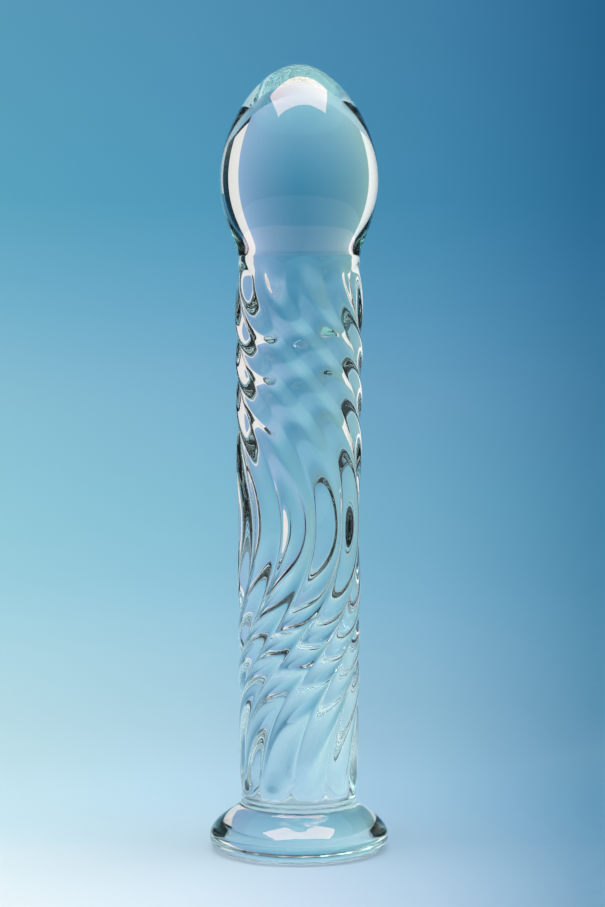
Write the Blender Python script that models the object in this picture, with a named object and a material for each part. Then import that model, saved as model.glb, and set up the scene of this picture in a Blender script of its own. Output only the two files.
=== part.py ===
"""A solid glass massage wand, standing on its foot.

Units are metres, +Z is up, and the origin is at the centre of the foot's flat underside.
The real wand is one continuous piece of flame-worked borosilicate glass. The sections that
it is formed from are separate objects here, stacked along Z with a hair's gap between
them: the pressed foot, the neck ring, the ribbed and twisted shaft, and the rounded head.
"""

import math

import bmesh
import bpy

MM = 0.001

# Heights along the wand, from the surface that it stands on.
CREASE_HEIGHT = 10.6 * MM
SHAFT_BOTTOM = 13.8 * MM
NECK_HEIGHT = 150.8 * MM
WIDEST_HEIGHT = 170.5 * MM
TOTAL_HEIGHT = 200.0 * MM
SECTION_GAP = 0.3 * MM

# Foot: a thick round button with a flat underside and a domed top. A pull is how strongly
# a curve follows its starting or ending direction.
FOOT_RADIUS = 22.9 * MM
FOOT_RIM_HEIGHT = 3.5 * MM
FOOT_FLAT_RADIUS = 20.2 * MM
UNDERSIDE_PULL = 0.9 * MM
UNDER_RIM_PULL = 2.4 * MM
DOME_RIM_PULL = 3.0 * MM
DOME_CREASE_PULL = 2.4 * MM
CREASE_RADIUS = 16.0 * MM
CREASE_SLOPE = math.radians(31.0)

# Neck ring: the short smooth waist between the foot and the first ribs.
RING_BOTTOM_RADIUS = 15.4 * MM
RING_RADIUS = 14.9 * MM
RING_BOTTOM_PULL = 0.5 * MM
RING_TOP_PULL = 1.0 * MM

# Head: an egg-shaped knob.
HEAD_RADIUS = 20.25 * MM
NECK_RADIUS = 15.5 * MM
NECK_PULL = 3.8 * MM
BELOW_WIDEST_PULL = 8.9 * MM
ABOVE_WIDEST_PULL = 14.5 * MM
TOP_PULL = 9.4 * MM

# Shaft: convex ribs around a rod that grows slightly thicker upwards.
SHAFT_BOTTOM_RADIUS = 15.1 * MM
SHAFT_TOP_RADIUS = 16.4 * MM
SWELL_POWER = 0.75
LOWER_ROUNDING = 5.3 * MM
LOWER_ROUNDING_DROP = 0.5 * MM
UPPER_ROUNDING = 9.0 * MM
UPPER_ROUNDING_DROP = 0.85 * MM

# Ribs: the grooves between them are deepest in the lower half and run out at both ends.
RIB_COUNT = 10
BOTTOM_GROOVE_DEPTH = 1.25 * MM
LOWER_GROOVE_DEPTH = 2.2 * MM
UPPER_GROOVE_DEPTH = 1.0 * MM
TOP_GROOVE_DEPTH = 1.19 * MM
LOWER_DEEPENING_START = 34.1 * MM
LOWER_DEEPENING_REACH = 25.0 * MM
SHALLOWING_START = 82.0 * MM
SHALLOWING_REACH = 21.7 * MM
TOP_DEEPENING_START = 115.0 * MM
TOP_DEEPENING_REACH = 25.0 * MM
LOWER_FADE = 6.5 * MM
UPPER_FADE = 7.0 * MM

# Groove section: a soft V, blended with a plain wave. A share below 0 makes the ribs rounder and
# the grooves steeper than the V. The fullness widens the grooves, or narrows them below 0.
LOWER_SOFTNESS = 0.25
LOWER_WAVE_SHARE = -0.20
LOWER_FLANK_FULLNESS = -0.03
UPPER_SOFTNESS = 0.22
UPPER_WAVE_SHARE = 0.20
UPPER_FLANK_FULLNESS = 0.13

# Twist: the ribs turn one way above the reversal and the other way below it. The hand-turned
# glass runs a few degrees ahead or behind in places, each spread over a short length.
REVERSAL_HEIGHT = 83.9 * MM
UPPER_TWIST = math.radians(138.7)
LOWER_TWIST = math.radians(134.3)
UPPER_TWIST_POWER = 1.12
REVERSAL_GROOVE_ANGLE = math.radians(180.2)
LOW_SLIP_HEIGHT = 40.0 * MM
LOW_SLIP = math.radians(-9.35)
MIDDLE_SLIP_HEIGHT = 100.0 * MM
MIDDLE_SLIP = math.radians(-2.5)
HIGH_SLIP_HEIGHT = 140.0 * MM
HIGH_SLIP = math.radians(-4.4)
SLIP_SPREAD = 9.0 * MM

# Facets.
FOOT_SEGMENTS = 64
UNDER_RIM_STEPS = 5
DOME_STEPS = 7
RING_STEPS = 4
HEAD_SEGMENTS = 48
LOWER_HEAD_STEPS = 9
UPPER_HEAD_STEPS = 14
POINTS_PER_RIB = 8
RING_SPACING = 3.2 * MM
END_RING_COUNT = 4
LOWER_END_SPACING = 0.9 * MM
UPPER_END_SPACING = 1.6 * MM
WELD_DISTANCE = 1e-7
SHARPEST_SMOOTH_EDGE = math.radians(35.0)

# Glass.
GLASS_IOR = 1.473
GLASS_ROUGHNESS = 0.02
CLEAR_TINT = (0.93, 0.98, 0.97)
RING_TINT = (0.92, 0.97, 0.96)


def clear_scene():
    """Remove every object that the file starts with."""
    for thing in list(bpy.data.objects):
        bpy.data.objects.remove(thing, do_unlink=True)


def clear_glass(name, tint):
    """A clear, polished glass with a faint tint."""
    material = bpy.data.materials.new(name)
    material.use_nodes = True
    shader = material.node_tree.nodes["Principled BSDF"]
    shader.inputs["Base Color"].default_value = (*tint, 1.0)
    shader.inputs["Metallic"].default_value = 0.0
    shader.inputs["Roughness"].default_value = GLASS_ROUGHNESS
    shader.inputs["IOR"].default_value = GLASS_IOR
    shader.inputs["Transmission Weight"].default_value = 1.0
    return material


def add_object(name, bm, tint):
    """Turn a finished bmesh into a named, smooth-shaded object with its own glass."""
    bmesh.ops.recalc_face_normals(bm, faces=bm.faces)
    mesh = bpy.data.meshes.new(name)
    bm.to_mesh(mesh)
    bm.free()
    mesh.shade_smooth()
    mesh.set_sharp_from_angle(angle=SHARPEST_SMOOTH_EDGE)
    mesh.materials.append(clear_glass(name + "_glass", tint))
    thing = bpy.data.objects.new(name, mesh)
    bpy.context.scene.collection.objects.link(thing)
    return thing


def bezier(start, start_handle, end_handle, end, steps):
    """Points along one cubic curve in the (radius, height) plane, both ends included."""
    points = []
    for step in range(steps + 1):
        t = step / steps
        weights = ((1 - t) ** 3, 3 * t * (1 - t) ** 2, 3 * t * t * (1 - t), t ** 3)
        corners = (start, start_handle, end_handle, end)
        radius = sum(w * c[0] for w, c in zip(weights, corners))
        height = sum(w * c[1] for w, c in zip(weights, corners))
        points.append((radius, height))
    return points


def turned(name, outline, segments, tint):
    """Spin an outline, which starts and ends on the axis, into a closed solid."""
    bm = bmesh.new()
    verts = [bm.verts.new((radius, 0.0, height)) for radius, height in outline]
    edges = [bm.edges.new(pair) for pair in zip(verts, verts[1:])]
    bmesh.ops.spin(bm, geom=verts + edges, cent=(0, 0, 0), axis=(0, 0, 1),
                   angle=math.tau, steps=segments, use_merge=True)
    bmesh.ops.remove_doubles(bm, verts=bm.verts, dist=WELD_DISTANCE)
    return add_object(name, bm, tint)


def make_foot():
    """The button foot: flat below, rounded at the rim, domed up to the crease."""
    top = CREASE_HEIGHT
    under_rim = bezier((FOOT_FLAT_RADIUS, 0.0),
                       (FOOT_FLAT_RADIUS + UNDERSIDE_PULL, 0.0),
                       (FOOT_RADIUS, FOOT_RIM_HEIGHT - UNDER_RIM_PULL),
                       (FOOT_RADIUS, FOOT_RIM_HEIGHT), UNDER_RIM_STEPS)
    beside_crease = (CREASE_RADIUS + DOME_CREASE_PULL * math.cos(CREASE_SLOPE),
                     top - DOME_CREASE_PULL * math.sin(CREASE_SLOPE))
    dome = bezier((FOOT_RADIUS, FOOT_RIM_HEIGHT),
                  (FOOT_RADIUS, FOOT_RIM_HEIGHT + DOME_RIM_PULL),
                  beside_crease,
                  (CREASE_RADIUS, top), DOME_STEPS)
    outline = [(0.0, 0.0)] + under_rim + dome[1:] + [(0.0, top)]
    return turned("foot", outline, FOOT_SEGMENTS, CLEAR_TINT)


def make_neck_ring():
    """The smooth waist above the crease, slightly hollowed at its side."""
    bottom = CREASE_HEIGHT + SECTION_GAP
    top = SHAFT_BOTTOM
    side = bezier((RING_BOTTOM_RADIUS, bottom), (RING_RADIUS, bottom + RING_BOTTOM_PULL),
                  (RING_RADIUS, top - RING_TOP_PULL), (RING_RADIUS, top), RING_STEPS)
    outline = [(0.0, bottom)] + side + [(0.0, top)]
    return turned("neck_ring", outline, FOOT_SEGMENTS, RING_TINT)


def make_head():
    """The egg-shaped head, from the narrow neck to its rounded top."""
    bottom = NECK_HEIGHT + SECTION_GAP
    lower = bezier((NECK_RADIUS, bottom), (NECK_RADIUS, bottom + NECK_PULL),
                   (HEAD_RADIUS, WIDEST_HEIGHT - BELOW_WIDEST_PULL),
                   (HEAD_RADIUS, WIDEST_HEIGHT), LOWER_HEAD_STEPS)
    upper = bezier((HEAD_RADIUS, WIDEST_HEIGHT), (HEAD_RADIUS, WIDEST_HEIGHT + ABOVE_WIDEST_PULL),
                   (TOP_PULL, TOTAL_HEIGHT), (0.0, TOTAL_HEIGHT), UPPER_HEAD_STEPS)
    outline = [(0.0, bottom)] + lower + upper[1:]
    return turned("head", outline, HEAD_SEGMENTS, CLEAR_TINT)


def slip(height, slip_height, turn):
    """One place where the hand-turned glass runs ahead or behind."""
    return turn * math.exp(-0.5 * ((height - slip_height) / SLIP_SPREAD) ** 2)


def twist(height):
    """How far the ribs have turned at a height, seen from above. It reverses half-way up."""
    if height > REVERSAL_HEIGHT:
        share = (height - REVERSAL_HEIGHT) / (NECK_HEIGHT - REVERSAL_HEIGHT)
        share = share ** UPPER_TWIST_POWER
        full_turn = UPPER_TWIST
    else:
        share = (REVERSAL_HEIGHT - height) / (REVERSAL_HEIGHT - SHAFT_BOTTOM)
        full_turn = LOWER_TWIST
    slips = slip(height, LOW_SLIP_HEIGHT, LOW_SLIP)
    slips += slip(height, MIDDLE_SLIP_HEIGHT, MIDDLE_SLIP)
    slips += slip(height, HIGH_SLIP_HEIGHT, HIGH_SLIP)
    return slips - full_turn * 0.5 * (1.0 - math.cos(math.pi * share))


def smooth_rise(distance, reach):
    """Rises from 0 to 1 over a reach, with a level start and end."""
    share = min(max(distance / reach, 0.0), 1.0)
    return share * share * (3.0 - 2.0 * share)


def ridge_radius(height):
    """The radius over the ribs' crests: a slow swell upwards, rounded off at both ends."""
    share = (height - SHAFT_BOTTOM) / (NECK_HEIGHT - SHAFT_BOTTOM)
    swell = (SHAFT_TOP_RADIUS - SHAFT_BOTTOM_RADIUS) * max(share, 0.0) ** SWELL_POWER
    lower_drop = LOWER_ROUNDING_DROP * (1.0 - smooth_rise(height - SHAFT_BOTTOM, LOWER_ROUNDING))
    upper_drop = UPPER_ROUNDING_DROP * (1.0 - smooth_rise(NECK_HEIGHT - height, UPPER_ROUNDING))
    return SHAFT_BOTTOM_RADIUS + swell - lower_drop - upper_drop


def groove_share(angle, softness, wave_share, flank_fullness):
    """0 on a rib's crest and 1 in the groove beside it. Angle 0 is the middle of a groove."""
    highest = math.sqrt(1.0 + softness ** 2)
    across = math.sqrt(math.sin(angle * RIB_COUNT / 2) ** 2 + softness ** 2)
    soft_vee = (highest - across) / (highest - softness)
    wave = 0.5 * (1.0 + math.cos(angle * RIB_COUNT))
    flank = 0.5 * (1.0 - math.cos(2.0 * angle * RIB_COUNT))
    return (1.0 - wave_share) * soft_vee + wave_share * wave + flank_fullness * flank


def groove_depth(height):
    """How deep the grooves are at a height, fading to nothing at both ends of the shaft."""
    lower_rise = smooth_rise(height - LOWER_DEEPENING_START, LOWER_DEEPENING_REACH)
    lower = BOTTOM_GROOVE_DEPTH + (LOWER_GROOVE_DEPTH - BOTTOM_GROOVE_DEPTH) * lower_rise
    upper_rise = smooth_rise(height - TOP_DEEPENING_START, TOP_DEEPENING_REACH)
    upper = UPPER_GROOVE_DEPTH + (TOP_GROOVE_DEPTH - UPPER_GROOVE_DEPTH) * upper_rise
    to_upper = smooth_rise(height - SHALLOWING_START, SHALLOWING_REACH)
    fade = smooth_rise(height - SHAFT_BOTTOM, LOWER_FADE)
    fade *= smooth_rise(NECK_HEIGHT - height, UPPER_FADE)
    return (lower + (upper - lower) * to_upper) * fade


def surface_radius(angle, height):
    """The shaft's radius at an angle measured from a groove."""
    lower = groove_share(angle, LOWER_SOFTNESS, LOWER_WAVE_SHARE, LOWER_FLANK_FULLNESS)
    upper = groove_share(angle, UPPER_SOFTNESS, UPPER_WAVE_SHARE, UPPER_FLANK_FULLNESS)
    to_upper = smooth_rise(height - SHALLOWING_START, SHALLOWING_REACH)
    return ridge_radius(height) - groove_depth(height) * (lower + (upper - lower) * to_upper)


def shaft_heights():
    """The heights of the shaft's rings: close together where its ends are rounded."""
    first_height = SHAFT_BOTTOM + SECTION_GAP
    first = [first_height + step * LOWER_END_SPACING for step in range(END_RING_COUNT)]
    last = [NECK_HEIGHT - step * UPPER_END_SPACING for step in range(END_RING_COUNT)][::-1]
    span = last[0] - first[-1]
    count = round(span / RING_SPACING)
    middle = [first[-1] + span * step / count for step in range(1, count)]
    return first + middle + last


def make_ribbed_shaft():
    """Draw the ribbed section up the wand ring by ring, turning it as it goes."""
    heights = shaft_heights()
    columns = RIB_COUNT * POINTS_PER_RIB
    bm = bmesh.new()
    ring = bmesh.ops.create_circle(bm, cap_ends=True, segments=columns, radius=SHAFT_BOTTOM_RADIUS)
    verts = ring["verts"]
    edges = [edge for edge in bm.edges if edge.is_boundary]
    own_angles = [math.atan2(vert.co.y, vert.co.x) for vert in verts]
    place_ring(verts, own_angles, heights[0])
    for below, height in zip(heights, heights[1:]):
        grown = bmesh.ops.extrude_edge_only(bm, edges=edges)["geom"]
        verts = [item for item in grown if isinstance(item, bmesh.types.BMVert)]
        edges = [item for item in grown if isinstance(item, bmesh.types.BMEdge) and item.is_boundary]
        turned_so_far = REVERSAL_GROOVE_ANGLE + twist(below)
        own_angles = [math.atan2(vert.co.y, vert.co.x) - turned_so_far for vert in verts]
        place_ring(verts, own_angles, height)
    bmesh.ops.contextual_create(bm, geom=edges)
    return add_object("ribbed_shaft", bm, CLEAR_TINT)


def place_ring(verts, own_angles, height):
    """Put a ring's points at a height, each at its own angle from a groove."""
    for vert, own_angle in zip(verts, own_angles):
        radius = surface_radius(own_angle, height)
        angle = own_angle + REVERSAL_GROOVE_ANGLE + twist(height)
        vert.co = (radius * math.cos(angle), radius * math.sin(angle), height)


def main():
    clear_scene()
    make_foot()
    make_neck_ring()
    make_ribbed_shaft()
    make_head()


main()
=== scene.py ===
"""The looks of the solid glass wand: one continuous piece of clear glass on a pale blue sweep."""

import math

import bpy
import numpy as np
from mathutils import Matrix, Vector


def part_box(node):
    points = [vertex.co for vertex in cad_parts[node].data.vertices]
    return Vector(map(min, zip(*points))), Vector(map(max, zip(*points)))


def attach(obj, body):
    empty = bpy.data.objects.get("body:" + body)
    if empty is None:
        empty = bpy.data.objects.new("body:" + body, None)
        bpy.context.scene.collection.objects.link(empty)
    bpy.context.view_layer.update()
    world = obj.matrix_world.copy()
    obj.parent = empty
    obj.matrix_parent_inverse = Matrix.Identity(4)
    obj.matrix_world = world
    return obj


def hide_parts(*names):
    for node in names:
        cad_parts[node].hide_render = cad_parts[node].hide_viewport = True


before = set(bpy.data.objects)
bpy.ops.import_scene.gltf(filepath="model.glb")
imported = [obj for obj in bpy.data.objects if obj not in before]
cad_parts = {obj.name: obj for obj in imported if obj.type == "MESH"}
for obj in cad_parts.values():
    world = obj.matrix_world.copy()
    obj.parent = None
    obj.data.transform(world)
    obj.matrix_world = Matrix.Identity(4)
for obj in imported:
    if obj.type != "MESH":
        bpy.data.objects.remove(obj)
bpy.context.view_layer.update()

MM = 0.001

# ---------------------------------------------------------------- sizes from the frame
foot_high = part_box("foot")[1]
ring_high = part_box("neck_ring")[1]
shaft_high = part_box("ribbed_shaft")[1]
head_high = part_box("head")[1]

FOOT_RADIUS = foot_high[0]
CREASE_HEIGHT = foot_high[2]
SHAFT_BOTTOM = ring_high[2]
NECK_HEIGHT = shaft_high[2]
HEAD_RADIUS = head_high[0]
TOTAL_HEIGHT = head_high[2]

# ---------------------------------------------------------------- the glass's own outline
# A pull is how strongly a curve follows its starting or ending direction.
FOOT_RIM_HEIGHT = 3.5 * MM
FOOT_FLAT_RADIUS = 20.2 * MM
UNDERSIDE_PULL = 0.9 * MM
UNDER_RIM_PULL = 2.4 * MM
DOME_RIM_PULL = 3.0 * MM
DOME_CREASE_PULL = 2.4 * MM
CREASE_RADIUS = 16.0 * MM
CREASE_SLOPE = math.radians(31.0)
RING_RADIUS = 14.9 * MM
FILLET_HEIGHT = 2.0 * MM
FILLET_INWARD_PULL = 0.6 * MM
FILLET_UPWARD_PULL = 0.5 * MM
FILLET_TOP_PULL = 1.0 * MM
WAIST_BOTTOM_PULL = 0.4 * MM
WAIST_TOP_PULL = 0.4 * MM
NECK_RADIUS = 15.5 * MM
NECK_PULL = 3.8 * MM
WIDEST_HEIGHT = 170.5 * MM
BELOW_WIDEST_PULL = 8.9 * MM
ABOVE_WIDEST_PULL = 14.5 * MM
TOP_PULL = 9.4 * MM

SHAFT_BOTTOM_RADIUS = 15.1 * MM
SHAFT_TOP_RADIUS = 16.4 * MM
SWELL_POWER = 0.75
LOWER_ROUNDING = 5.3 * MM
LOWER_ROUNDING_DROP = 0.5 * MM
UPPER_ROUNDING = 9.0 * MM
UPPER_ROUNDING_DROP = 0.85 * MM

# Ribs: the grooves between them are deepest in the lower half and run out at both ends.
RIB_COUNT = 10
BOTTOM_GROOVE_DEPTH = 1.25 * MM
LOWER_GROOVE_DEPTH = 2.2 * MM
UPPER_GROOVE_DEPTH = 1.0 * MM
TOP_GROOVE_DEPTH = 1.19 * MM
LOWER_DEEPENING_START = 34.1 * MM
LOWER_DEEPENING_REACH = 25.0 * MM
SHALLOWING_START = 82.0 * MM
SHALLOWING_REACH = 21.7 * MM
TOP_DEEPENING_START = 115.0 * MM
TOP_DEEPENING_REACH = 25.0 * MM
LOWER_FADE = 6.5 * MM
UPPER_FADE = 7.0 * MM

# Groove section: a soft V, blended with a plain wave. A share below 0 makes the ribs rounder and
# the grooves steeper than the V. The fullness widens the grooves, or narrows them below 0.
LOWER_SOFTNESS = 0.25
LOWER_WAVE_SHARE = -0.20
LOWER_FLANK_FULLNESS = -0.03
UPPER_SOFTNESS = 0.22
UPPER_WAVE_SHARE = 0.20
UPPER_FLANK_FULLNESS = 0.129

# Twist: the ribs turn one way above the reversal and the other way below it. The hand-turned
# glass runs a few degrees ahead or behind in places, each spread over a short length.
REVERSAL_HEIGHT = 83.94 * MM
UPPER_TWIST = math.radians(138.74)
LOWER_TWIST = math.radians(134.3)
UPPER_TWIST_POWER = 1.12
LOWER_TWIST_POWER = 0.988
UPPER_TURN_REACH = 66.8 * MM
LOWER_TURN_REACH = 70.3 * MM
REVERSAL_GROOVE_ANGLE = math.radians(180.19)
LOW_SLIP_HEIGHT = 40.0 * MM
LOW_SLIP = math.radians(-9.35)
WAIST_SLIP_HEIGHT = 60.0 * MM
WAIST_SLIP = math.radians(0.65)
MIDDLE_SLIP_HEIGHT = 100.0 * MM
MIDDLE_SLIP = math.radians(-2.52)
HIGH_SLIP_HEIGHT = 140.0 * MM
HIGH_SLIP = math.radians(-4.4)
SLIP_SPREAD = 10.0 * MM
HIGH_SLIP_SPREAD = 7.0 * MM

# How finely the skin is divided.
COLUMNS = 320
UNDERSIDE_RINGS = 6
UNDER_RIM_RINGS = 13
DOME_RINGS = 21
FILLET_RINGS = 11
WAIST_RINGS = 5
SHAFT_RINGS = 180
LOWER_HEAD_RINGS = 34
UPPER_HEAD_RINGS = 40


# ---------------------------------------------------------------- the glass body
def bezier(start, start_handle, end_handle, end, steps):
    """Points along one cubic curve in the (radius, height) plane, both ends included."""
    t = np.linspace(0.0, 1.0, steps + 1)[:, None]
    corners = [np.array(corner) for corner in (start, start_handle, end_handle, end)]
    weights = ((1 - t) ** 3, 3 * t * (1 - t) ** 2, 3 * t * t * (1 - t), t ** 3)
    return sum(weight * corner for weight, corner in zip(weights, corners))


def smooth_rise(distance, reach):
    """Rises from 0 to 1 over a reach, with a level start and end."""
    share = np.clip(distance / reach, 0.0, 1.0)
    return share * share * (3.0 - 2.0 * share)


def slip(height, slip_height, turn, spread):
    """One place where the hand-turned glass runs ahead or behind."""
    return turn * np.exp(-0.5 * ((height - slip_height) / spread) ** 2)


def twist(height):
    """How far the ribs have turned at a height. It reverses half-way up the shaft."""
    above = np.clip((height - REVERSAL_HEIGHT) / UPPER_TURN_REACH, 0.0, 1.0) ** UPPER_TWIST_POWER
    below = np.clip((REVERSAL_HEIGHT - height) / LOWER_TURN_REACH, 0.0, 1.0) ** LOWER_TWIST_POWER
    upper_turn = UPPER_TWIST * 0.5 * (1.0 - np.cos(np.pi * above))
    lower_turn = LOWER_TWIST * 0.5 * (1.0 - np.cos(np.pi * below))
    slips = slip(height, LOW_SLIP_HEIGHT, LOW_SLIP, SLIP_SPREAD)
    slips += slip(height, WAIST_SLIP_HEIGHT, WAIST_SLIP, SLIP_SPREAD)
    slips += slip(height, MIDDLE_SLIP_HEIGHT, MIDDLE_SLIP, SLIP_SPREAD)
    slips += slip(height, HIGH_SLIP_HEIGHT, HIGH_SLIP, HIGH_SLIP_SPREAD)
    return slips - (upper_turn + lower_turn)


def ridge_radius(height):
    """The radius over the ribs' crests: a slow swell upwards, rounded off at both ends."""
    share = np.clip((height - SHAFT_BOTTOM) / (NECK_HEIGHT - SHAFT_BOTTOM), 0.0, 1.0)
    swell = (SHAFT_TOP_RADIUS - SHAFT_BOTTOM_RADIUS) * share ** SWELL_POWER
    lower_drop = LOWER_ROUNDING_DROP * (1.0 - smooth_rise(height - SHAFT_BOTTOM, LOWER_ROUNDING))
    upper_drop = UPPER_ROUNDING_DROP * (1.0 - smooth_rise(NECK_HEIGHT - height, UPPER_ROUNDING))
    return SHAFT_BOTTOM_RADIUS + swell - lower_drop - upper_drop


def groove_share(angle, softness, wave_share, flank_fullness):
    """0 on a rib's crest and 1 in the groove beside it. Angle 0 is the middle of a groove."""
    highest = math.sqrt(1.0 + softness ** 2)
    across = np.sqrt(np.sin(angle * RIB_COUNT / 2) ** 2 + softness ** 2)
    soft_vee = (highest - across) / (highest - softness)
    wave = 0.5 * (1.0 + np.cos(angle * RIB_COUNT))
    flank = 0.5 * (1.0 - np.cos(2.0 * angle * RIB_COUNT))
    return (1.0 - wave_share) * soft_vee + wave_share * wave + flank_fullness * flank


def groove_depth(height):
    """How deep the grooves are at a height, fading to nothing at both ends of the shaft."""
    lower_rise = smooth_rise(height - LOWER_DEEPENING_START, LOWER_DEEPENING_REACH)
    lower = BOTTOM_GROOVE_DEPTH + (LOWER_GROOVE_DEPTH - BOTTOM_GROOVE_DEPTH) * lower_rise
    upper_rise = smooth_rise(height - TOP_DEEPENING_START, TOP_DEEPENING_REACH)
    upper = UPPER_GROOVE_DEPTH + (TOP_GROOVE_DEPTH - UPPER_GROOVE_DEPTH) * upper_rise
    to_upper = smooth_rise(height - SHALLOWING_START, SHALLOWING_REACH)
    fade = smooth_rise(height - SHAFT_BOTTOM, LOWER_FADE)
    fade = fade * smooth_rise(NECK_HEIGHT - height, UPPER_FADE)
    return (lower + (upper - lower) * to_upper) * fade


def groove_cut(angle, height):
    """How far the surface lies below the ribs' crests, at an angle measured from a groove."""
    lower = groove_share(angle, LOWER_SOFTNESS, LOWER_WAVE_SHARE, LOWER_FLANK_FULLNESS)
    upper = groove_share(angle, UPPER_SOFTNESS, UPPER_WAVE_SHARE, UPPER_FLANK_FULLNESS)
    to_upper = smooth_rise(height - SHALLOWING_START, SHALLOWING_REACH)
    return groove_depth(height) * (lower + (upper - lower) * to_upper)


def foot_outline():
    """The foot's rings: flat below, rounded at the rim, domed up to the crease."""
    flat = np.linspace(0.0, FOOT_FLAT_RADIUS, UNDERSIDE_RINGS + 2)[1:-1]
    under = np.stack([flat, np.zeros(UNDERSIDE_RINGS)], 1)
    rim = bezier((FOOT_FLAT_RADIUS, 0.0), (FOOT_FLAT_RADIUS + UNDERSIDE_PULL, 0.0),
                 (FOOT_RADIUS, FOOT_RIM_HEIGHT - UNDER_RIM_PULL),
                 (FOOT_RADIUS, FOOT_RIM_HEIGHT), UNDER_RIM_RINGS)
    beside_crease = (CREASE_RADIUS + DOME_CREASE_PULL * math.cos(CREASE_SLOPE),
                     CREASE_HEIGHT - DOME_CREASE_PULL * math.sin(CREASE_SLOPE))
    dome = bezier((FOOT_RADIUS, FOOT_RIM_HEIGHT), (FOOT_RADIUS, FOOT_RIM_HEIGHT + DOME_RIM_PULL),
                  beside_crease, (CREASE_RADIUS, CREASE_HEIGHT), DOME_RINGS)
    return np.vstack([under, rim, dome[1:]])


def waist_outline():
    """The rings from the crease through its fillet and up the waist to the first ribs."""
    ring_start = (RING_RADIUS, CREASE_HEIGHT + FILLET_HEIGHT)
    fillet = bezier((CREASE_RADIUS, CREASE_HEIGHT),
                    (CREASE_RADIUS - FILLET_INWARD_PULL, CREASE_HEIGHT + FILLET_UPWARD_PULL),
                    (RING_RADIUS, ring_start[1] - FILLET_TOP_PULL), ring_start, FILLET_RINGS)
    first_radius = float(ridge_radius(np.array(SHAFT_BOTTOM)))
    waist = bezier(ring_start, (RING_RADIUS, ring_start[1] + WAIST_BOTTOM_PULL),
                   (first_radius, SHAFT_BOTTOM - WAIST_TOP_PULL),
                   (first_radius, SHAFT_BOTTOM), WAIST_RINGS)
    return np.vstack([fillet[1:], waist[1:]])


def head_outline():
    """The rings from the neck over the widest place to just short of the tip."""
    lower = bezier((NECK_RADIUS, NECK_HEIGHT), (NECK_RADIUS, NECK_HEIGHT + NECK_PULL),
                   (HEAD_RADIUS, WIDEST_HEIGHT - BELOW_WIDEST_PULL),
                   (HEAD_RADIUS, WIDEST_HEIGHT), LOWER_HEAD_RINGS)
    upper = bezier((HEAD_RADIUS, WIDEST_HEIGHT), (HEAD_RADIUS, WIDEST_HEIGHT + ABOVE_WIDEST_PULL),
                   (TOP_PULL, TOTAL_HEIGHT), (0.0, TOTAL_HEIGHT), UPPER_HEAD_RINGS)
    return np.vstack([lower[1:], upper[1:-1]])


def outline():
    """Radius and height of every ring of the glass over the ribs' crests, foot to top."""
    heights = np.linspace(SHAFT_BOTTOM, NECK_HEIGHT, SHAFT_RINGS)[1:]
    shaft = np.stack([ridge_radius(heights), heights], 1)
    return np.vstack([foot_outline(), waist_outline(), shaft, head_outline()])


def glass_points():
    """The surface's points, ring by ring. Each column of points follows the ribs' twist."""
    rings = outline()
    radius = rings[:, 0][:, None]
    height = rings[:, 1][:, None]
    own_angle = (np.arange(COLUMNS) / COLUMNS * math.tau)[None, :]
    on_shaft = (height > SHAFT_BOTTOM) & (height < NECK_HEIGHT)
    surface = radius - np.where(on_shaft, groove_cut(own_angle, height), 0.0)
    angle = own_angle + REVERSAL_GROOVE_ANGLE + twist(height)
    points = np.stack([surface * np.cos(angle), surface * np.sin(angle),
                       np.broadcast_to(height, surface.shape)], -1)
    return points.reshape(-1, 3), len(rings)


def make_glass_body():
    """One closed skin over foot, neck ring, ribbed shaft and head."""
    points, ring_count = glass_points()
    bottom = len(points)
    top = bottom + 1
    points = np.vstack([points, [[0.0, 0.0, 0.0], [0.0, 0.0, TOTAL_HEIGHT]]])
    here = np.arange(COLUMNS)
    beside = (here + 1) % COLUMNS
    faces = [(bottom, int(b), int(a)) for a, b in zip(here, beside)]
    for ring in range(ring_count - 1):
        start = ring * COLUMNS
        quads = np.stack([here, beside, beside + COLUMNS, here + COLUMNS], 1) + start
        faces += quads.tolist()
    start = (ring_count - 1) * COLUMNS
    faces += [(start + int(a), start + int(b), top) for a, b in zip(here, beside)]
    mesh = bpy.data.meshes.new("glass_body")
    mesh.from_pydata(points.tolist(), [], faces)
    mesh.validate()
    mesh.shade_smooth()
    body = bpy.data.objects.new("glass_body", mesh)
    bpy.context.scene.collection.objects.link(body)
    return body


GLASS_IOR = 1.473
GLASS_TINT = (0.995, 1.0, 0.998, 1.0)
STREAK_STRETCH = (1.0, 1.0, 0.25)
HAZE_SCALE = 160.0
HAZE_DETAIL = 3.0
HAZE_FROM = 0.45
HAZE_TO = 0.75
MOST_ROUGHNESS = 0.012
STREAK_SCALE = 90.0
STREAK_DETAIL = 2.0
STREAK_STRENGTH = 0.06
STREAK_HEIGHT = 0.0002
ABSORPTION_COLOUR = (0.0, 0.95, 0.7, 1.0)
ABSORPTION_DENSITY = 2.0


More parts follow.
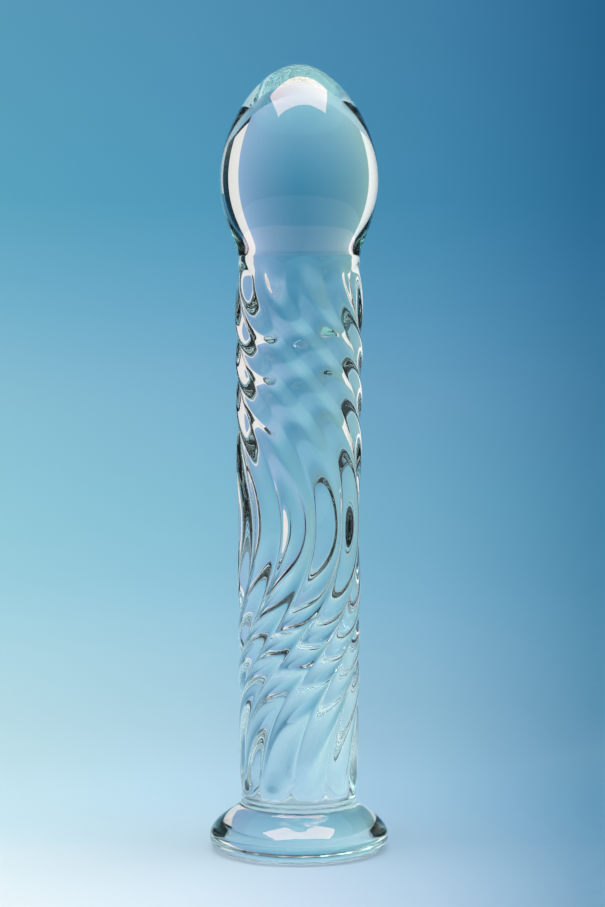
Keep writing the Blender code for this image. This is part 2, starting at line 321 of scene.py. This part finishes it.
def clear_glass():
    """Polished borosilicate: faint teal in thick places, with barely visible drawn streaks."""
    material = bpy.data.materials.new("clear_borosilicate")
    material.use_nodes = True
    nodes = material.node_tree.nodes
    links = material.node_tree.links
    shader = nodes["Principled BSDF"]
    shader.inputs["Base Color"].default_value = GLASS_TINT
    shader.inputs["IOR"].default_value = GLASS_IOR
    shader.inputs["Transmission Weight"].default_value = 1.0
    shader.inputs["Specular IOR Level"].default_value = 0.5

    place = nodes.new("ShaderNodeTexCoord")
    stretch = nodes.new("ShaderNodeMapping")
    stretch.inputs["Scale"].default_value = STREAK_STRETCH
    links.new(place.outputs["Object"], stretch.inputs["Vector"])

    haze = nodes.new("ShaderNodeTexNoise")
    haze.inputs["Scale"].default_value = HAZE_SCALE
    haze.inputs["Detail"].default_value = HAZE_DETAIL
    links.new(stretch.outputs["Vector"], haze.inputs["Vector"])
    haze_range = nodes.new("ShaderNodeMapRange")
    haze_range.inputs["From Min"].default_value = HAZE_FROM
    haze_range.inputs["From Max"].default_value = HAZE_TO
    haze_range.inputs["To Min"].default_value = 0.0
    haze_range.inputs["To Max"].default_value = MOST_ROUGHNESS
    links.new(haze.outputs["Fac"], haze_range.inputs["Value"])
    links.new(haze_range.outputs["Result"], shader.inputs["Roughness"])

    streaks = nodes.new("ShaderNodeTexNoise")
    streaks.inputs["Scale"].default_value = STREAK_SCALE
    streaks.inputs["Detail"].default_value = STREAK_DETAIL
    links.new(stretch.outputs["Vector"], streaks.inputs["Vector"])
    bump = nodes.new("ShaderNodeBump")
    bump.inputs["Strength"].default_value = STREAK_STRENGTH
    bump.inputs["Distance"].default_value = STREAK_HEIGHT
    links.new(streaks.outputs["Fac"], bump.inputs["Height"])
    links.new(bump.outputs["Normal"], shader.inputs["Normal"])

    absorption = nodes.new("ShaderNodeVolumeAbsorption")
    absorption.inputs["Color"].default_value = ABSORPTION_COLOUR
    absorption.inputs["Density"].default_value = ABSORPTION_DENSITY
    output = nodes["Material Output"]
    links.new(absorption.outputs["Volume"], output.inputs["Volume"])
    return material


glass_body = make_glass_body()
glass_body.data.materials.append(clear_glass())
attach(glass_body, "root")
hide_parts("foot", "neck_ring", "ribbed_shaft", "head")


# ---------------------------------------------------------------- the studio
def linear(red, green, blue):
    """A screen colour of 0 to 255 as linear light."""
    share = np.array([red, green, blue]) / 255.0
    return np.where(share <= 0.04045, share / 12.92, ((share + 0.055) / 1.055) ** 2.4)


def blend_colours(value, keys):
    """Colours at an array of values, read from a short list of (value, colour) keys."""
    stops = [key[0] for key in keys]
    colours = np.array([linear(*key[1]) for key in keys])
    return np.stack([np.interp(value, stops, colours[:, band]) for band in range(3)], -1)


def only_seen_through_glass(thing, reflected=False):
    """A studio card out of the picture, which shows where the glass bends the light towards it.

    A polarising filter takes its reflection off the glass unless it is reflected too.
    """
    thing.visible_camera = False
    thing.visible_diffuse = False
    thing.visible_shadow = False
    thing.visible_glossy = reflected


def glow_material(name, strength=1.0, colour=None):
    """A plain emitter, of one colour or of the mesh's own painted colours."""
    material = bpy.data.materials.new(name)
    material.use_nodes = True
    nodes = material.node_tree.nodes
    nodes.remove(nodes["Principled BSDF"])
    glow = nodes.new("ShaderNodeEmission")
    glow.inputs["Strength"].default_value = strength
    if colour is None:
        painted = nodes.new("ShaderNodeAttribute")
        painted.attribute_name = "paint"
        material.node_tree.links.new(painted.outputs["Color"], glow.inputs["Color"])
    else:
        glow.inputs["Color"].default_value = (*colour, 1.0)
    output = nodes["Material Output"]
    material.node_tree.links.new(glow.outputs["Emission"], output.inputs["Surface"])
    return material


def grid_object(name, points, closed_round=False):
    """A sheet over a rows x columns grid of points.

    closed_round joins the last column to the first.
    """
    rows, columns = points.shape[:2]
    spans = columns if closed_round else columns - 1
    faces = []
    for row in range(rows - 1):
        for column in range(spans):
            a = row * columns + column
            b = row * columns + (column + 1) % columns
            faces.append((a, b, b + columns, a + columns))
    mesh = bpy.data.meshes.new(name)
    mesh.from_pydata(points.reshape(-1, 3).tolist(), [], faces)
    mesh.shade_smooth()
    sheet = bpy.data.objects.new(name, mesh)
    bpy.context.scene.collection.objects.link(sheet)
    return sheet


def paint(sheet, colours):
    """Gives each point of a sheet its colour, in linear light."""
    layer = sheet.data.color_attributes.new("paint", "FLOAT_COLOR", "POINT")
    rgba = np.ones((len(sheet.data.vertices), 4))
    rgba[:, :3] = colours.reshape(-1, 3)
    layer.data.foreach_set("color", rgba.ravel())


def upright_card(name, left, right, low, high, colour, strength):
    """A flat, evenly lit upright card between two places on the floor plan."""
    corners = np.array([[(*left, low), (*right, low)], [(*left, high), (*right, high)]])
    card = grid_object(name, corners)
    card.data.materials.append(glow_material(name, strength, linear(*colour)))
    only_seen_through_glass(card)


# The sweep: a pale floor that rises all round into a blue wall, deeper blue towards the top.
# Its colours are keyed by the distance from the object, measured along the paper.
SWEEP_FLAT_RADIUS = 0.62
SWEEP_BEND_RADIUS = 0.85
SWEEP_WALL_HEIGHT = 1.4
FLOOR_DROP = 0.0002
SWEEP_FLAT_ROWS = 96
SWEEP_BEND_ROWS = 40
SWEEP_WALL_ROWS = 12
SWEEP_COLUMNS = 360
BACK_KEYS = [(-0.30, (205, 226, 238)), (-0.06, (209, 226, 236)), (0.06, (184, 217, 232)),
             (0.25, (166, 207, 224)), (0.60, (148, 199, 220)), (0.87, (132, 190, 212)),
             (1.04, (124, 180, 207)), (1.18, (101, 166, 198)), (1.30, (81, 154, 187)),
             (1.52, (80, 146, 181)), (2.2, (60, 120, 160))]
FRONT_KEYS = [(0.0, (209, 226, 236)), (0.40, (203, 225, 237)), (0.75, (165, 206, 224)),
              (1.10, (120, 178, 206)), (1.5, (84, 150, 185)), (2.2, (60, 120, 160))]
# Painted light on the paper: how the light falls off from left to right, by the slope of a line
# that fans out from in front.
FAN_START = 0.56
LEAST_FAN_REACH = 0.2
PAINTED_FALLOFF_SLOPES = (-1.2, -0.14, -0.05, 0.0, 0.058, 0.10, 0.136, 0.30, 1.4)
PAINTED_FALLOFF_SHARES = ((1.0, 1.0, 1.0), (1.19, 1.12, 1.045), (1.0, 1.0, 1.0), (0.86, 0.89, 0.94),
                  (0.66, 0.76, 0.85), (0.45, 0.60, 0.72), (0.27, 0.45, 0.58), (0.36, 0.56, 0.70),
                  (0.85, 0.95, 1.0))
# Where the colours pass into each other: a start, then the reach of the change. The sides go by
# the sine of the direction, which is 1 straight behind the object, and the rest by the distance.
BEHIND_START, BEHIND_REACH = 0.40, 0.50
NEARBY_START, NEARBY_REACH = 0.10, 0.50
FRONT_SIDE_START, FRONT_SIDE_REACH = 0.92, 0.7
FRONT_START, FRONT_REACH = 0.10, 0.25

FLOOR_ALBEDO_SHARE = 0.70
# Painted light: the paper glows with its colours, at least LEAST_GLOW_SHARE of it near the object,
# which softens the object's shadow there, and fully from GLOW_FULL out.
GLOW_START = 0.06
GLOW_FULL = 0.22
LEAST_GLOW_SHARE = 0.45


def make_sweep():
    """The floor and the wall round it, as one painted surface of revolution."""
    flat = np.linspace(0.0, SWEEP_FLAT_RADIUS, SWEEP_FLAT_ROWS)
    bend = np.linspace(0.0, math.pi / 2, SWEEP_BEND_ROWS)[1:]
    wall = np.linspace(0.0, SWEEP_WALL_HEIGHT - SWEEP_BEND_RADIUS, SWEEP_WALL_ROWS)[1:]
    across = np.concatenate([flat, SWEEP_FLAT_RADIUS + SWEEP_BEND_RADIUS * np.sin(bend),
                             np.full(len(wall), SWEEP_FLAT_RADIUS + SWEEP_BEND_RADIUS)])
    up = np.concatenate([np.zeros(len(flat)), SWEEP_BEND_RADIUS * (1.0 - np.cos(bend)),
                         SWEEP_BEND_RADIUS + wall]) - FLOOR_DROP
    along = np.concatenate([flat, SWEEP_FLAT_RADIUS + SWEEP_BEND_RADIUS * bend,
                            SWEEP_FLAT_RADIUS + SWEEP_BEND_RADIUS * math.pi / 2 + wall])
    angle = np.arange(SWEEP_COLUMNS) / SWEEP_COLUMNS * math.tau
    points = np.stack([across[:, None] * np.cos(angle), across[:, None] * np.sin(angle),
                       np.broadcast_to(up[:, None], (len(up), len(angle)))], -1)
    sweep = grid_object("studio_sweep", points, closed_round=True)
    sine = np.broadcast_to(np.sin(angle)[None, :], points.shape[:2])
    distance = np.broadcast_to(along[:, None], sine.shape)
    back = blend_colours(distance * np.where(sine > 0.0, np.sqrt(np.abs(sine)), sine), BACK_KEYS)
    # Painted light and shade: the falloff lightens and darkens the paper's colours behind the
    # object and near it.
    slope = points[..., 0] / np.maximum(points[..., 1] + FAN_START, LEAST_FAN_REACH)
    shares = np.array(PAINTED_FALLOFF_SHARES)
    painted_falloff = np.stack([np.interp(slope, PAINTED_FALLOFF_SLOPES, shares[:, band]) for band in range(3)], -1)
    behind = smooth_rise(sine - BEHIND_START, BEHIND_REACH)
    nearby = 1.0 - smooth_rise(distance - NEARBY_START, NEARBY_REACH)
    back = back * (1.0 + (painted_falloff - 1.0) * np.maximum(behind, nearby)[..., None])
    front = blend_colours(distance, FRONT_KEYS)
    in_front = smooth_rise(FRONT_SIDE_START - sine, FRONT_SIDE_REACH)[..., None]
    to_front = in_front * smooth_rise(distance - FRONT_START, FRONT_REACH)[..., None]
    paint(sweep, back * (1.0 - to_front) + front * to_front)
    return sweep


def sweep_paper():
    """Painted paper that glows with painted light: near the object it also takes the softbox's
    light, and beyond it glows evenly.
    """
    material = bpy.data.materials.new("sweep_paper")
    material.use_nodes = True
    nodes = material.node_tree.nodes
    links = material.node_tree.links
    nodes.remove(nodes["Principled BSDF"])
    colours = nodes.new("ShaderNodeAttribute")
    colours.attribute_name = "paint"
    glow = nodes.new("ShaderNodeEmission")
    links.new(colours.outputs["Color"], glow.inputs["Color"])
    matt = nodes.new("ShaderNodeBsdfDiffuse")
    albedo = nodes.new("ShaderNodeVectorMath")
    albedo.operation = "SCALE"
    albedo.inputs["Scale"].default_value = FLOOR_ALBEDO_SHARE
    links.new(colours.outputs["Color"], albedo.inputs[0])
    links.new(albedo.outputs["Vector"], matt.inputs["Color"])
    place = nodes.new("ShaderNodeTexCoord")
    distance = nodes.new("ShaderNodeVectorMath")
    distance.operation = "LENGTH"
    links.new(place.outputs["Object"], distance.inputs[0])
    to_glow = nodes.new("ShaderNodeMapRange")
    to_glow.interpolation_type = "SMOOTHSTEP"
    to_glow.inputs["From Min"].default_value = GLOW_START
    to_glow.inputs["From Max"].default_value = GLOW_FULL
    to_glow.inputs["To Min"].default_value = LEAST_GLOW_SHARE
    links.new(distance.outputs["Value"], to_glow.inputs["Value"])
    mix = nodes.new("ShaderNodeMixShader")
    links.new(to_glow.outputs["Result"], mix.inputs["Fac"])
    links.new(matt.outputs["BSDF"], mix.inputs[1])
    links.new(glow.outputs["Emission"], mix.inputs[2])
    links.new(mix.outputs["Shader"], nodes["Material Output"].inputs["Surface"])
    return material


sweep = make_sweep()
sweep.data.materials.append(sweep_paper())
sweep.visible_diffuse = False

# ---------------------------------------------------------------- the cards round the object
BACKDROP_DISTANCE = 0.34
BACKDROP_LEFT = -0.352
BACKDROP_RIGHT = 0.221
BACKDROP_HEIGHT = 0.52
BACKDROP_COLUMNS = 41
BACKDROP_ROWS = 53
BACKDROP_EDGE_POWER = 1.3
BACKDROP_LEFT_COLOUR = (150, 190, 190)
BACKDROP_RIGHT_COLOUR = (150, 178, 215)
BACKDROP_KEYS = [(0.0, (160, 205, 225)), (0.04, (140, 192, 216)), (0.08, (122, 180, 205)),
                 (0.12, (104, 162, 193)), (0.16, (84, 148, 183)), (0.20, (70, 138, 173)),
                 (0.24, (64, 130, 166)), (0.52, (66, 129, 163))]

# Upright cards: left and right edge on the floor plan, lowest and highest height, colour, strength.
CARDS = (
    ("studio_card_right", (0.222, 0.34), (0.365, 0.34), 0.03, 0.52, (246, 238, 236), 1.0),
    ("studio_flag_right", (0.366, 0.34), (0.52, 0.30), 0.0, 0.5, (10, 12, 14), 1.0),
    # studio_gap_right is painted shade: a dark strip behind the gap under the right card.
    ("studio_gap_right", (0.222, 0.345), (0.365, 0.345), 0.0, 0.03, (10, 12, 14), 1.0),
    ("studio_strip_right", (0.53, 0.29), (0.54, 0.21), 0.0, 0.28, (236, 238, 240), 1.0),
    ("studio_card_left", (-0.352, 0.34), (-0.56, 0.08), 0.0, 0.52, (255, 252, 250), 1.1),
    ("studio_panel_front", (-1.0, -0.5), (1.0, -0.5), 0.56, 1.1, (255, 225, 240), 1.2),
)

CEILING_COLOUR = (34, 44, 54)

# The shroud leaves a gap behind the object, where the reflections show the lit studio.
SHROUD_RADIUS = 0.56
SHROUD_HEIGHT = 0.62
SHROUD_HALF_GAP = math.radians(28.0)
SHROUD_COLUMNS = 61
SHROUD_COLOUR = (30, 32, 36)

# The dark surround, painted shade: the edges of its floor, then how far its wall reaches round the
# object.
DARK_LEFT = -0.42
DARK_RIGHT = 0.30
DARK_FRONT = -0.30
DARK_BACK = 0.345
DARK_LIFT = 0.0001
DARK_WALL_INSET = 0.02
DARK_WALL_DEGREES = (35.0, -190.0)
DARK_WALL_COLUMNS = 90
DARK_WALL_ROWS = 24
DARK_COLOUR = (24, 28, 30)
# Light turned back twice or more inside the glass has a greater depth than this.
STRAIGHT_THROUGH_DEPTH = 3.5

SOFTBOX_CENTRE = (0.011, -0.073)
SOFTBOX_HALF_LONG = 0.37
SOFTBOX_HALF_SHORT = 0.19
SOFTBOX_TURN = math.radians(8.0)
SOFTBOX_HEIGHT = 0.75
SOFTBOX_STRENGTH = 10.0
SOFTBOX_COLOUR = (1.04, 0.98, 0.98)
CLOTH_HEIGHT = 0.749
CLOTH_STRENGTH = 8.0
CLOTH_COLOUR = (1.28, 0.72, 0.56)


def make_backdrop():
    """The blue paper close behind the object, teal towards the left and lavender to the right."""
    across = np.linspace(BACKDROP_LEFT, BACKDROP_RIGHT, BACKDROP_COLUMNS)
    up = np.linspace(0.0, BACKDROP_HEIGHT, BACKDROP_ROWS)
    x, z = np.meshgrid(across, up)
    points = np.stack([x, np.full_like(x, BACKDROP_DISTANCE), z], -1)
    backdrop = grid_object("studio_backdrop", points)
    colours = blend_colours(z, BACKDROP_KEYS)
    for edge, edge_colour in ((BACKDROP_LEFT, BACKDROP_LEFT_COLOUR),
                              (BACKDROP_RIGHT, BACKDROP_RIGHT_COLOUR)):
        share = (np.clip(x / edge, 0.0, 1.0) ** BACKDROP_EDGE_POWER)[..., None]
        colours = colours * (1.0 - share) + linear(*edge_colour) * share
    paint(backdrop, colours)
    backdrop.data.materials.append(glow_material("backdrop_paper"))
    only_seen_through_glass(backdrop)


make_backdrop()
for card in CARDS:
    upright_card(*card)


def make_ceiling():
    """The dark room above the studio, out of the light that reaches the floor."""
    reach = SWEEP_FLAT_RADIUS + SWEEP_BEND_RADIUS
    corners = np.array([[(-reach, -reach, SWEEP_WALL_HEIGHT), (reach, -reach, SWEEP_WALL_HEIGHT)],
                        [(-reach, reach, SWEEP_WALL_HEIGHT), (reach, reach, SWEEP_WALL_HEIGHT)]])
    ceiling = grid_object("studio_ceiling", corners)
    ceiling.data.materials.append(glow_material("ceiling_dark", 1.0, linear(*CEILING_COLOUR)))
    only_seen_through_glass(ceiling)


make_ceiling()


def make_reflection_shroud():
    """What the filtered reflections show to the sides and in front: a dark room, as a sheet of
    painted shade.
    """
    angle = np.linspace(math.pi / 2 + SHROUD_HALF_GAP, math.pi * 5 / 2 - SHROUD_HALF_GAP,
                        SHROUD_COLUMNS)
    rows = [np.stack([SHROUD_RADIUS * np.cos(angle), SHROUD_RADIUS * np.sin(angle),
                      np.full(len(angle), height)], 1)
            for height in (0.0, SHROUD_HEIGHT)]
    shroud = grid_object("studio_shroud", np.array(rows))
    shroud.data.materials.append(glow_material("shroud_dark", 1.0, linear(*SHROUD_COLOUR)))
    only_seen_through_glass(shroud, reflected=True)
    shroud.visible_transmission = False


make_reflection_shroud()


def add_dark_sheet(name, points):
    """One dark sheet of the room as painted shade, for light that the ribs turned back inside the
    glass.

    It draws the ribs' dark lines, and leaves the glass clear to look straight through.
    """
    sheet = grid_object(name, points)
    material = glow_material(name, 1.0, linear(*DARK_COLOUR))
    nodes = material.node_tree.nodes
    links = material.node_tree.links
    path = nodes.new("ShaderNodeLightPath")
    turned_back = nodes.new("ShaderNodeMath")
    turned_back.operation = "GREATER_THAN"
    turned_back.inputs[1].default_value = STRAIGHT_THROUGH_DEPTH
    links.new(path.outputs["Ray Depth"], turned_back.inputs[0])
    open_air = nodes.new("ShaderNodeBsdfTransparent")
    mix = nodes.new("ShaderNodeMixShader")
    links.new(turned_back.outputs["Value"], mix.inputs["Fac"])
    links.new(open_air.outputs["BSDF"], mix.inputs[1])
    links.new(nodes["Emission"].outputs["Emission"], mix.inputs[2])
    links.new(mix.outputs["Shader"], nodes["Material Output"].inputs["Surface"])
    sheet.data.materials.append(material)
    only_seen_through_glass(sheet)


def make_dark_surround():
    """Painted shade: the dark room past the paper's edges, to the sides and in front."""
    inner = SWEEP_FLAT_RADIUS
    for name, x_low, x_high, y_low, y_high in (
            ("left", -inner, DARK_LEFT, -inner, DARK_BACK),
            ("right", DARK_RIGHT, inner, -inner, DARK_BACK),
            ("front", DARK_LEFT, DARK_RIGHT, -inner, DARK_FRONT)):
        corners = np.array([[(x_low, y_low, DARK_LIFT), (x_high, y_low, DARK_LIFT)],
                            [(x_low, y_high, DARK_LIFT), (x_high, y_high, DARK_LIFT)]])
        add_dark_sheet("studio_dark_floor_" + name, corners)
    bend = np.linspace(0.0, math.pi / 2, DARK_WALL_ROWS)
    across = inner - DARK_WALL_INSET + SWEEP_BEND_RADIUS * np.sin(bend)
    up = DARK_LIFT + SWEEP_BEND_RADIUS * (1.0 - np.cos(bend))
    across = np.append(across, across[-1])
    up = np.append(up, SWEEP_WALL_HEIGHT)
    angle = np.radians(np.linspace(*DARK_WALL_DEGREES, DARK_WALL_COLUMNS))
    points = np.stack([across[:, None] * np.cos(angle), across[:, None] * np.sin(angle),
                       np.broadcast_to(up[:, None], (len(up), len(angle)))], -1)
    add_dark_sheet("studio_dark_wall", points)


make_dark_surround()


def make_softbox():
    """The large softbox overhead, a little in front of the object, and its warm front cloth.

    The lamp lights the paper and shines through the glass. The cloth is what the glass reflects.
    """
    cosine = math.cos(SOFTBOX_TURN)
    sine = math.sin(SOFTBOX_TURN)
    for name, height, strength, colour in (
            ("studio_softbox", SOFTBOX_HEIGHT, SOFTBOX_STRENGTH, SOFTBOX_COLOUR),
            ("studio_softbox_cloth", CLOTH_HEIGHT, CLOTH_STRENGTH, CLOTH_COLOUR)):
        corners = [[(SOFTBOX_CENTRE[0] + u * cosine - v * sine,
                     SOFTBOX_CENTRE[1] + u * sine + v * cosine, height)
                    for u in (-SOFTBOX_HALF_LONG, SOFTBOX_HALF_LONG)]
                   for v in (-SOFTBOX_HALF_SHORT, SOFTBOX_HALF_SHORT)]
        sheet = grid_object(name, np.array(corners))
        sheet.data.materials.append(glow_material(name, strength, colour))
        is_cloth = name.endswith("cloth")
        sheet.visible_camera = False
        sheet.visible_glossy = is_cloth
        sheet.visible_diffuse = not is_cloth
        sheet.visible_transmission = not is_cloth
        sheet.visible_shadow = not is_cloth


make_softbox()

# ---------------------------------------------------------------- camera and picture settings
CAMERA_PLACE = (0.0009, -0.56, 0.12247)
CAMERA_TILT_DEGREES = 2.18
SENSOR_HEIGHT = 36.0
FOCAL_LENGTH = 87.08
NEAREST_SEEN = 0.01
FURTHEST_SEEN = 20.0
MOST_BOUNCES = 32
MOST_GLOSSY_BOUNCES = 24
ROOM_COLOUR = (0.30, 0.42, 0.48, 1.0)

lens = bpy.data.cameras.new("camera")
lens.sensor_fit = "VERTICAL"
lens.sensor_height = SENSOR_HEIGHT
lens.lens = FOCAL_LENGTH
lens.clip_start = NEAREST_SEEN
lens.clip_end = FURTHEST_SEEN
camera = bpy.data.objects.new("camera", lens)
camera.location = CAMERA_PLACE
camera.rotation_euler = (math.radians(90.0 - CAMERA_TILT_DEGREES), 0.0, 0.0)
bpy.context.scene.collection.objects.link(camera)
bpy.context.scene.camera = camera

scene = bpy.context.scene
scene.view_settings.view_transform = "Standard"
scene.cycles.max_bounces = MOST_BOUNCES
scene.cycles.transmission_bounces = MOST_BOUNCES
scene.cycles.glossy_bounces = MOST_GLOSSY_BOUNCES
scene.cycles.sample_clamp_indirect = 0.0

world = bpy.data.worlds.new("room")
world.use_nodes = True
world.node_tree.nodes["Background"].inputs["Color"].default_value = ROOM_COLOUR
scene.world = world
